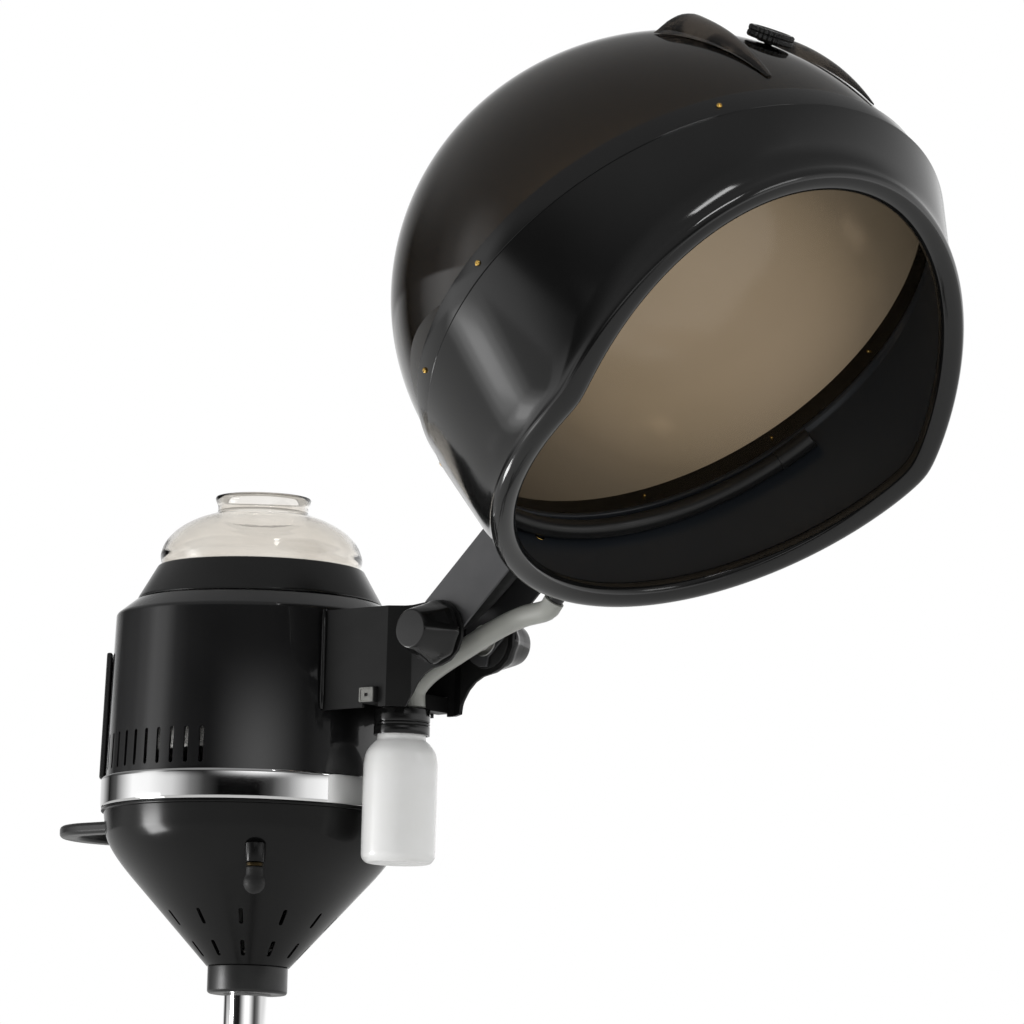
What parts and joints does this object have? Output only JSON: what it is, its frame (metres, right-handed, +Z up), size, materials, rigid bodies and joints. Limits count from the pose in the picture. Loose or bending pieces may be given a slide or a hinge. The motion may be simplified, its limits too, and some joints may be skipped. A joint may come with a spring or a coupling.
{
  "type": "hair steamer",
  "caption": "Salon hair steamer: a smoked dome hood with a black visor ring on a tilting arm, over a boiler unit with a glass jar, on a height-adjustable pole and a rolling star base",
  "frame": {"origin": "on the pole's axis, on the floor under the casters", "axes": "+Z up along the pole, +X forward from the pole to the hood, +Y to the wearer's left"},
  "size_m": [0.8966, 0.5896, 1.5568],
  "materials": {
    "enamel": "gloss black enamel",
    "black_abs": "polished black moulding",
    "moulded_black": "satin black moulding",
    "satin_sheet": "satin black paint",
    "grey_sheet": "satin dark grey paint",
    "rubber": "matt black rubber",
    "chrome": "mirror chrome",
    "steel": "brushed stainless",
    "brass": "turned brass",
    "smoked_acrylic": "clear smoked brown acrylic",
    "clear_glass": "clear blown glass",
    "milky_plastic": "milky blow-moulded plastic",
    "silicone": "translucent grey silicone",
    "lens": "amber lens",
    "cast_alloy": "satin black paint on cast alloy"
  },
  "bodies": {
    "base": {"star_base": "cast_alloy", "lower_tube": "chrome", "height_clamp": "moulded_black"},
    "lock_knob": {"height_lock_knob": "moulded_black"},
    "pole": {"upper_pole": "chrome"},
    "head": {"pole_collar": "satin_sheet", "pole_socket": "steel", "lower_bowl": "moulded_black", "mains_inlet": "moulded_black", "drain_nipple": "brass", "rear_handle": "moulded_black", "chrome_band": "chrome", "body_shell": "enamel", "control_panel": "moulded_black", "indicator_lamp": "lens", "top_ring": "enamel", "jar_gasket": "rubber", "boiler_tank": "steel", "heating_element": "steel", "thermostat": "moulded_black", "steam_outlet": "steel", "arm_bracket": "satin_sheet", "bottle_bar": "satin_sheet", "bottle_cap": "moulded_black", "friction_disc_near": "rubber", "friction_disc_far": "rubber", "drain_hose": "silicone", "steam_hose": "rubber"},
    "jar": {"glass_jar": "clear_glass"},
    "catch_bottle": {"bottle": "milky_plastic"},
    "drain_plug": {"drain_cap": "rubber"},
    "timer": {"timer_knob": "moulded_black"},
    "rocker": {"power_switch": "moulded_black"},
    "clamp_near": {"clamp_knob_near": "moulded_black"},
    "clamp_far": {"clamp_knob_far": "moulded_black"},
    "hood": {"arm_channel": "grey_sheet", "hood_saddle": "satin_sheet", "hood_ring": "black_abs", "hood_dome": "smoked_acrylic", "steam_pipe": "moulded_black", "steam_inlet": "brass", "drain_spigot": "moulded_black", "vent_scoop_near": "smoked_acrylic", "vent_scoop_far": "smoked_acrylic", "pivot_nut_near": "steel", "pivot_nut_far": "steel"},
    "damper": {"vent_knob": "moulded_black", "vent_damper": "moulded_black"},
    "caster_1": {"caster_fork_1": "moulded_black"},
    "caster_2": {"caster_fork_2": "moulded_black"},
    "caster_3": {"caster_fork_3": "moulded_black"},
    "caster_4": {"caster_fork_4": "moulded_black"},
    "caster_5": {"caster_fork_5": "moulded_black"},
    "wheels_1": {"caster_wheels_1": "moulded_black"},
    "wheels_2": {"caster_wheels_2": "moulded_black"},
    "wheels_3": {"caster_wheels_3": "moulded_black"},
    "wheels_4": {"caster_wheels_4": "moulded_black"},
    "wheels_5": {"caster_wheels_5": "moulded_black"}
  },
  "joints": [
    {"name": "pole_height", "type": "slide", "parent": "base", "child": "pole", "axis": [0, 0, 1], "range_m": [-0.18, 0.12]},
    {"name": "height_lock", "type": "hinge", "parent": "base", "child": "lock_knob", "pos_m": [-0.03, 0, 0.5375], "axis": [-1, 0, 0], "continuous": true},
    {"name": "head_swivel", "type": "hinge", "parent": "pole", "child": "head", "pos_m": [0, 0, 0.9], "axis": [0, 0, 1], "range_deg": [-170, 170]},
    {"name": "hood_tilt", "type": "hinge", "parent": "head", "child": "hood", "pos_m": [0.2105, 0, 1.1215], "axis": [0, -1, 0], "range_deg": [-45, 20], "deforming": ["drain_hose", "steam_hose"]},
    {"name": "clamp_near_turn", "type": "hinge", "parent": "head", "child": "clamp_near", "pos_m": [0.2105, -0.045, 1.1215], "axis": [0, -1, 0], "continuous": true},
    {"name": "clamp_far_turn", "type": "hinge", "parent": "head", "child": "clamp_far", "pos_m": [0.2105, 0.045, 1.1215], "axis": [0, 1, 0], "continuous": true},
    {"name": "vent_turn", "type": "hinge", "parent": "hood", "child": "damper", "pos_m": [0.4909, 0, 1.5403], "axis": [0.3822, 0, 0.9241], "range_deg": [-90, 90]},
    {"name": "timer_turn", "type": "hinge", "parent": "head", "child": "timer", "pos_m": [-0.12, 0, 1.0749], "axis": [-1, 0, 0], "range_deg": [0, 300]},
    {"name": "rocker_tip", "type": "hinge", "parent": "head", "child": "rocker", "pos_m": [-0.1049, -0.0467, 1.0749], "axis": [0.4067, -0.9136, 0], "range_deg": [0, 10]},
    {"name": "jar_lift", "type": "slide", "parent": "head", "child": "jar", "axis": [0, 0, 1], "range_m": [0, 0.06]},
    {"name": "bottle_drop", "type": "slide", "parent": "head", "child": "catch_bottle", "axis": [0, 0, -1], "range_m": [0, 0.03]},
    {"name": "drain_cap_pull", "type": "slide", "parent": "head", "child": "drain_plug", "axis": [0, 0, -1], "range_m": [0, 0.03]},
    {"name": "caster_1_swivel", "type": "hinge", "parent": "base", "child": "caster_1", "pos_m": [0.23461, 0.17046, 0.06], "axis": [0, 0, 1], "continuous": true},
    {"name": "caster_2_swivel", "type": "hinge", "parent": "base", "child": "caster_2", "pos_m": [-0.08962, 0.27581, 0.06], "axis": [0, 0, 1], "continuous": true},
    {"name": "caster_3_swivel", "type": "hinge", "parent": "base", "child": "caster_3", "pos_m": [-0.29, 0, 0.06], "axis": [0, 0, 1], "continuous": true},
    {"name": "caster_4_swivel", "type": "hinge", "parent": "base", "child": "caster_4", "pos_m": [-0.08962, -0.27581, 0.06], "axis": [0, 0, 1], "continuous": true},
    {"name": "caster_5_swivel", "type": "hinge", "parent": "base", "child": "caster_5", "pos_m": [0.23461, -0.17046, 0.06], "axis": [0, 0, 1], "continuous": true},
    {"name": "wheels_1_roll", "type": "hinge", "parent": "caster_1", "child": "wheels_1", "pos_m": [0.21843, 0.1587, 0.02415], "axis": [-0.5878, 0.809, 0], "continuous": true},
    {"name": "wheels_2_roll", "type": "hinge", "parent": "caster_2", "child": "wheels_2", "pos_m": [-0.08343, 0.25678, 0.02415], "axis": [-0.9511, -0.309, 0], "continuous": true},
    {"name": "wheels_3_roll", "type": "hinge", "parent": "caster_3", "child": "wheels_3", "pos_m": [-0.27, 0, 0.02415], "axis": [0, -1, 0], "continuous": true},
    {"name": "wheels_4_roll", "type": "hinge", "parent": "caster_4", "child": "wheels_4", "pos_m": [-0.08343, -0.25678, 0.02415], "axis": [0.9511, -0.309, 0], "continuous": true},
    {"name": "wheels_5_roll", "type": "hinge", "parent": "caster_5", "child": "wheels_5", "pos_m": [0.21843, -0.1587, 0.02415], "axis": [0.5878, 0.809, 0], "continuous": true}
  ]
}
